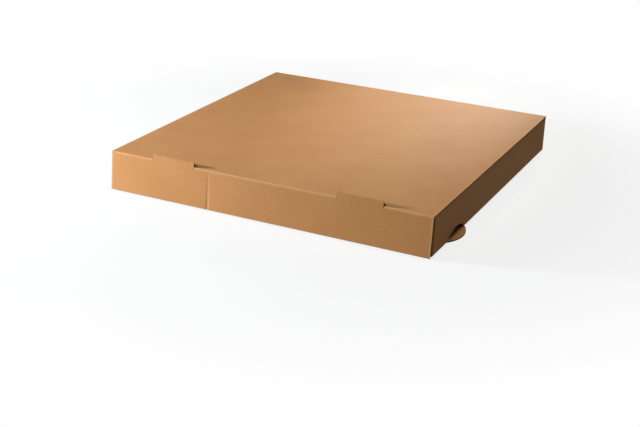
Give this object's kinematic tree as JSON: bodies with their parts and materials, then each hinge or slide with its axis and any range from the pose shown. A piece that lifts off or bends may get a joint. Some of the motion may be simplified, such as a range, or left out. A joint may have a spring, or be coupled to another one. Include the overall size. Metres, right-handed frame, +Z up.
{
  "type": "pizza box",
  "caption": "Square flat takeaway box of plain brown corrugated board, with a hinged lid, an outer front flap with lock tabs and half-moon side vents.",
  "frame": {"origin": "centre of the flat underside, on the surface that the box stands on", "axes": "+Z up, -Y towards the front flap, +X to the right as seen from the front"},
  "size_m": [0.3756, 0.3639, 0.047],
  "materials": {
    "tray_board": "matt brown kraft liner",
    "lid_board": "matt brown kraft liner",
    "flap_board": "matt brown kraft liner"
  },
  "bodies": {
    "tray": {"tray": "tray_board"},
    "lid": {"lid": "lid_board"},
    "front_flap": {"front_flap": "flap_board"}
  },
  "joints": [
    {"name": "lid_fold", "type": "hinge", "parent": "tray", "child": "lid", "pos_m": [0, 0.17925, 0.04125], "axis": [-1, 0, 0], "range_deg": [0, 180]},
    {"name": "front_flap_fold", "type": "hinge", "parent": "lid", "child": "front_flap", "pos_m": [0, -0.17925, 0.04125], "axis": [-1, 0, 0], "range_deg": [-5, 84.5], "stiffness_Nm_per_rad": 0.02}
  ]
}
